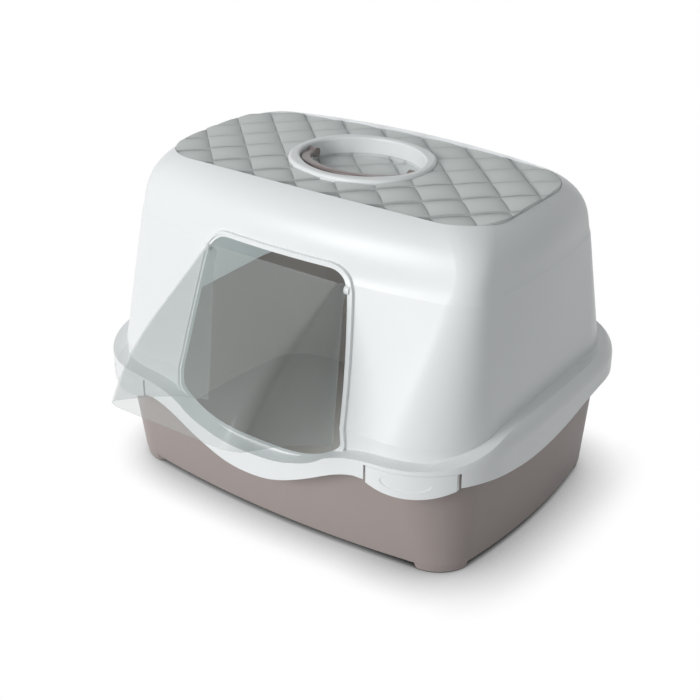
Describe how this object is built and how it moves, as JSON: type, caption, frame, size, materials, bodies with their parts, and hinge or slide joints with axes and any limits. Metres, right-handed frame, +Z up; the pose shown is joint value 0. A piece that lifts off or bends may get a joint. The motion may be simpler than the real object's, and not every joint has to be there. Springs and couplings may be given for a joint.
{
  "type": "hooded litter box",
  "caption": "Hooded pet litter box: tapered tray, lift-off domed hood with a quilted roof and folding carry handle, and a clear visor door at the front.",
  "frame": {"origin": "on the plane the feet stand on, at the middle of the tray", "axes": "+X to the right along the long side, +Y to the back (the doorway faces -Y), +Z up"},
  "size_m": [0.567, 0.5818, 0.4105],
  "materials": {
    "tray_plastic": "satin taupe polypropylene",
    "hood_plastic": "satin white polypropylene",
    "panel_plastic": "pale grey quilted moulding",
    "clear_plastic": "clear, faintly smoked plastic"
  },
  "bodies": {
    "tray_body": {"tray": "tray_plastic"},
    "hood_body": {"hood": "hood_plastic", "top_panel": "panel_plastic", "handle_well": "hood_plastic"},
    "visor_body": {"visor": "clear_plastic"},
    "handle_body": {"carry_handle": "tray_plastic"},
    "latch_front_right_body": {"latch_front_right": "hood_plastic"},
    "latch_front_left_body": {"latch_front_left": "hood_plastic"},
    "latch_rear_right_body": {"latch_rear_right": "hood_plastic"},
    "latch_rear_left_body": {"latch_rear_left": "hood_plastic"}
  },
  "joints": [
    {"name": "hood_lift", "type": "slide", "parent": "tray_body", "child": "hood_body", "axis": [0, 0, 1], "range_m": [0, 0.26]},
    {"name": "visor_swing", "type": "hinge", "parent": "hood_body", "child": "visor_body", "pos_m": [0, -0.165, 0.324], "axis": [1, 0, 0], "range_deg": [-38, 28]},
    {"name": "handle_fold", "type": "hinge", "parent": "hood_body", "child": "handle_body", "pos_m": [0, 0, 0.401], "axis": [-1, 0, 0], "range_deg": [0, 180]},
    {"name": "latch_front_right_flex", "type": "hinge", "parent": "hood_body", "child": "latch_front_right_body", "pos_m": [0.2171, -0.2136, 0.1538], "axis": [-0.9045, -0.4265, 0], "range_deg": [0, 10], "stiffness_Nm_per_rad": 0.2},
    {"name": "latch_front_left_flex", "type": "hinge", "parent": "hood_body", "child": "latch_front_left_body", "pos_m": [-0.2171, -0.2136, 0.1538], "axis": [-0.9045, 0.4265, 0], "range_deg": [0, 10], "stiffness_Nm_per_rad": 0.2},
    {"name": "latch_rear_right_flex", "type": "hinge", "parent": "hood_body", "child": "latch_rear_right_body", "pos_m": [0.2171, 0.2136, 0.1613], "axis": [0.9045, -0.4265, 0], "range_deg": [0, 10], "stiffness_Nm_per_rad": 0.2},
    {"name": "latch_rear_left_flex", "type": "hinge", "parent": "hood_body", "child": "latch_rear_left_body", "pos_m": [-0.2171, 0.2136, 0.1613], "axis": [0.9045, 0.4265, 0], "range_deg": [0, 10], "stiffness_Nm_per_rad": 0.2}
  ]
}
